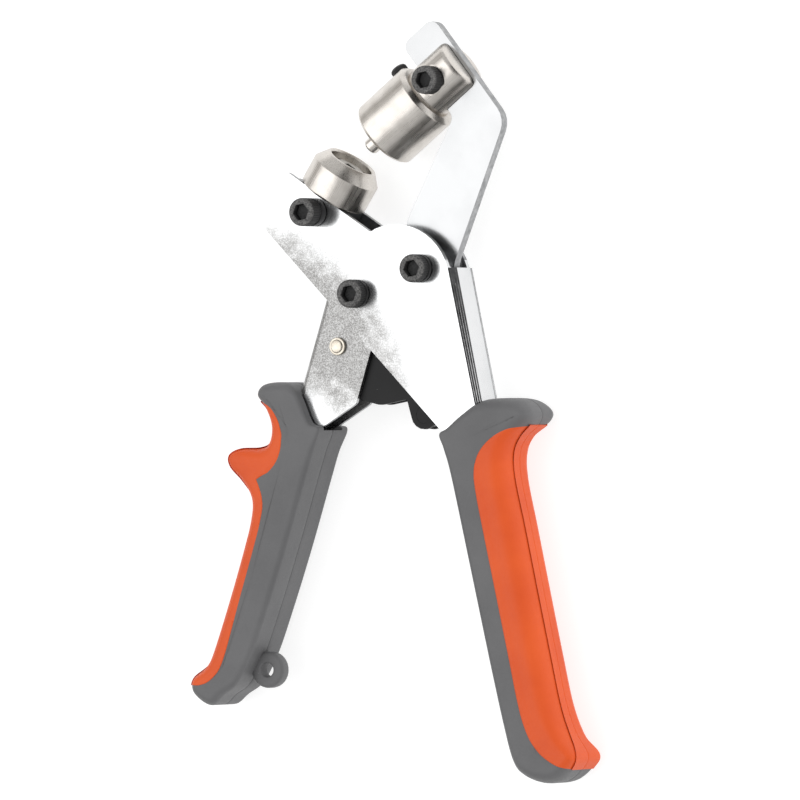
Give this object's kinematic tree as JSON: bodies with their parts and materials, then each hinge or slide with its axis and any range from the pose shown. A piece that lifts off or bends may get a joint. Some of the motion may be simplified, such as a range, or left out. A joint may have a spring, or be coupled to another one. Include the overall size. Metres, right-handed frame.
{
  "type": "snap setter pliers",
  "caption": "Hand-held snap setting pliers: a bent steel frame, a C-arm that carries the upper die down onto the lower die, a link, and two two-tone grips.",
  "frame": {"origin": "centre of the arm pivot bolt's end face, on the surface that the tool lies on", "axes": "+Y from the handles to the dies, +Z out of the tool's front plate, +X from the short handle's side to the long handle's side"},
  "size_m": [0.1504, 0.2614, 0.031],
  "materials": {
    "plated_steel": "bright zinc plating over pressed sheet steel, faint grain",
    "nickel_die": "turned and nickel plated, fine brushed lines along the axis",
    "black_oxide": "satin black oxide",
    "spring_steel": "drawn spring wire",
    "rivet_metal": "pale plated rivet",
    "grip_grey": "moulded grey plastic, fine matt grain",
    "grip_orange": "soft orange overmould, satin"
  },
  "bodies": {
    "frame": {"frame_channel": "plated_steel", "right_grip_core": "grip_grey", "right_grip_overmold": "grip_orange", "lower_die_cup": "nickel_die", "lower_die_insert": "nickel_die", "lower_die_block": "plated_steel", "lower_die_screw": "black_oxide", "lower_die_screw_collar": "black_oxide", "lower_die_screw_nut": "black_oxide", "handle_pivot_bolt": "black_oxide", "handle_pivot_washer": "black_oxide", "handle_pivot_nut": "black_oxide", "handle_pivot_sleeve": "plated_steel", "arm_pivot_bolt": "black_oxide", "arm_pivot_washer": "black_oxide", "arm_pivot_nut": "black_oxide", "arm_pivot_sleeve": "plated_steel", "arm_spacer_front": "plated_steel", "arm_spacer_rear": "plated_steel", "return_spring": "spring_steel"},
    "handle": {"handle_channel": "plated_steel", "link_rivet": "rivet_metal", "left_grip_core": "grip_grey", "left_grip_overmold": "grip_orange"},
    "arm": {"arm_plate": "plated_steel", "tail_pin": "black_oxide", "upper_die_holder": "nickel_die", "upper_die_punch": "nickel_die", "holder_clamp_screw": "black_oxide", "punch_set_screw": "black_oxide"},
    "link": {"link_front": "black_oxide", "link_rear": "black_oxide", "link_spacer": "black_oxide"}
  },
  "joints": [
    {"name": "handle_squeeze", "type": "hinge", "parent": "frame", "child": "handle", "pos_m": [-0.0245, -0.0086, 0.0128], "axis": [0, 0, 1], "range_deg": [0, 24.8], "stiffness_Nm_per_rad": 0.9, "springref_deg": -17.19},
    {"name": "arm_swing", "type": "hinge", "parent": "frame", "child": "arm", "pos_m": [0, 0, 0.0128], "axis": [0, 0, 1], "range_deg": [0, 11.5], "deforming": ["return_spring"]},
    {"name": "link_turn", "type": "hinge", "parent": "handle", "child": "link", "pos_m": [-0.0331, -0.0267, 0.0128], "axis": [0, 0, 1], "range_deg": [-20.5, 0]}
  ],
  "couplings": [
    {"joint": "arm_swing", "follows": "handle_squeeze", "ratio": 0.4592},
    {"joint": "link_turn", "follows": "handle_squeeze", "ratio": -0.813}
  ]
}
